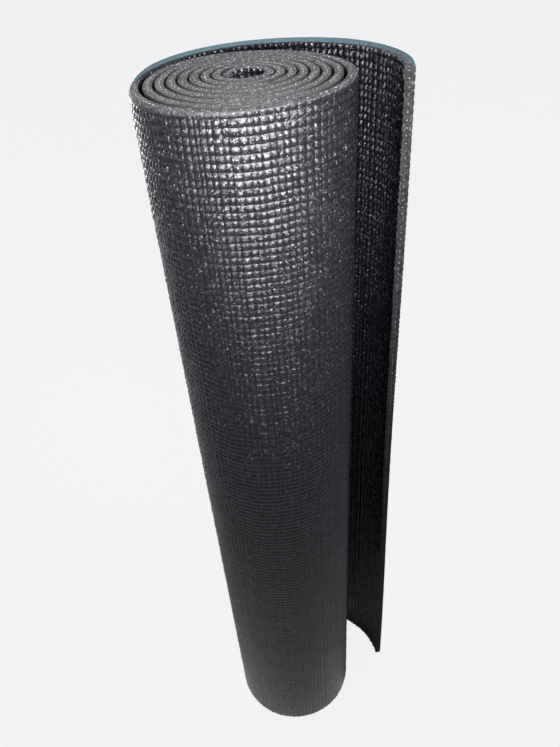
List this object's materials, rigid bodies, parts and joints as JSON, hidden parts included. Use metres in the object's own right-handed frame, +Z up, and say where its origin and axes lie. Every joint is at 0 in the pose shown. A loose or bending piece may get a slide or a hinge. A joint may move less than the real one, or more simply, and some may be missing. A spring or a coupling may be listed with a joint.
{
  "type": "rolled foam exercise mat",
  "caption": "Foam exercise mat rolled up and stood on end, its outer end loose as a curved flap that unrolls or curls in.",
  "frame": {"origin": "on the floor, in the middle of the rectangle that the standing roll and its flap take up", "axes": "+Z up along the roll, +Y to the back, where the flap passes, and +X to the right, where the flap ends"},
  "size_m": [0.1492, 0.1188, 0.61],
  "materials": {
    "foam_outer_face": "black PVC foam with a glossy skin over rows of embossed bumps",
    "scrim_yarn": "pale polyester yarn",
    "foam_inner_face": "black PVC foam, duller, with the same bumps"
  },
  "bodies": {
    "roll": {"outer_foam_roll": "foam_outer_face", "scrim_roll": "scrim_yarn", "inner_foam_roll": "foam_inner_face"},
    "strip_01": {"outer_foam_strip_01": "foam_outer_face", "scrim_strip_01": "scrim_yarn", "inner_foam_strip_01": "foam_inner_face"},
    "strip_02": {"outer_foam_strip_02": "foam_outer_face", "scrim_strip_02": "scrim_yarn", "inner_foam_strip_02": "foam_inner_face"},
    "strip_03": {"outer_foam_strip_03": "foam_outer_face", "scrim_strip_03": "scrim_yarn", "inner_foam_strip_03": "foam_inner_face"},
    "strip_04": {"outer_foam_strip_04": "foam_outer_face", "scrim_strip_04": "scrim_yarn", "inner_foam_strip_04": "foam_inner_face"},
    "strip_05": {"outer_foam_strip_05": "foam_outer_face", "scrim_strip_05": "scrim_yarn", "inner_foam_strip_05": "foam_inner_face"},
    "strip_06": {"outer_foam_strip_06": "foam_outer_face", "scrim_strip_06": "scrim_yarn", "inner_foam_strip_06": "foam_inner_face"},
    "strip_07": {"outer_foam_strip_07": "foam_outer_face", "scrim_strip_07": "scrim_yarn", "inner_foam_strip_07": "foam_inner_face"},
    "strip_08": {"outer_foam_strip_08": "foam_outer_face", "scrim_strip_08": "scrim_yarn", "inner_foam_strip_08": "foam_inner_face"},
    "strip_09": {"outer_foam_strip_09": "foam_outer_face", "scrim_strip_09": "scrim_yarn", "inner_foam_strip_09": "foam_inner_face"},
    "strip_10": {"outer_foam_strip_10": "foam_outer_face", "scrim_strip_10": "scrim_yarn", "inner_foam_strip_10": "foam_inner_face"}
  },
  "joints": [
    {"name": "bend_01", "type": "hinge", "parent": "roll", "child": "strip_01", "pos_m": [-0.07462, -0.00814, 0], "axis": [0.0043, 0.0022, 1], "range_deg": [-1.5, 23.3]},
    {"name": "bend_02", "type": "hinge", "parent": "strip_01", "child": "strip_02", "pos_m": [-0.07103, 0.01302, 0], "axis": [0.0044, 0.0022, 1], "range_deg": [-1.33, 20.57]},
    {"name": "bend_03", "type": "hinge", "parent": "strip_02", "child": "strip_03", "pos_m": [-0.06035, 0.03155, 0], "axis": [0.0047, 0.0021, 1], "range_deg": [-1.19, 18.34]},
    {"name": "bend_04", "type": "hinge", "parent": "strip_03", "child": "strip_04", "pos_m": [-0.04453, 0.04587, 0], "axis": [0.0053, 0.0015, 1], "range_deg": [-1.09, 16.79]},
    {"name": "bend_05", "type": "hinge", "parent": "strip_04", "child": "strip_05", "pos_m": [-0.0254, 0.05521, 0], "axis": [0.0061, 0, 1], "range_deg": [-1.03, 15.9]},
    {"name": "bend_06", "type": "hinge", "parent": "strip_05", "child": "strip_06", "pos_m": [-0.00453, 0.05927, 0], "axis": [0.0066, -0.0028, 1], "range_deg": [-1.02, 15.69]},
    {"name": "bend_07", "type": "hinge", "parent": "strip_06", "child": "strip_07", "pos_m": [0.01669, 0.05794, 0], "axis": [0.0062, -0.0069, 1], "range_deg": [-1.05, 16.15]},
    {"name": "bend_08", "type": "hinge", "parent": "strip_07", "child": "strip_08", "pos_m": [0.03688, 0.0512, 0], "axis": [0.0041, -0.0121, 0.9999], "range_deg": [-1.12, 17.28]},
    {"name": "bend_09", "type": "hinge", "parent": "strip_08", "child": "strip_09", "pos_m": [0.05451, 0.03921, 0], "axis": [-0.0007, -0.0179, 0.9998], "range_deg": [-1.24, 19.08]},
    {"name": "bend_10", "type": "hinge", "parent": "strip_09", "child": "strip_10", "pos_m": [0.06777, 0.02244, 0], "axis": [-0.0088, -0.0229, 0.9997], "range_deg": [-1.4, 21.56]}
  ],
  "couplings": [
    {"joint": "bend_02", "follows": "bend_01", "ratio": 0.8826},
    {"joint": "bend_03", "follows": "bend_01", "ratio": 0.7869},
    {"joint": "bend_04", "follows": "bend_01", "ratio": 0.7201},
    {"joint": "bend_05", "follows": "bend_01", "ratio": 0.6821},
    {"joint": "bend_06", "follows": "bend_01", "ratio": 0.6729},
    {"joint": "bend_07", "follows": "bend_01", "ratio": 0.6926},
    {"joint": "bend_08", "follows": "bend_01", "ratio": 0.7412},
    {"joint": "bend_09", "follows": "bend_01", "ratio": 0.8185},
    {"joint": "bend_10", "follows": "bend_01", "ratio": 0.9248}
  ]
}
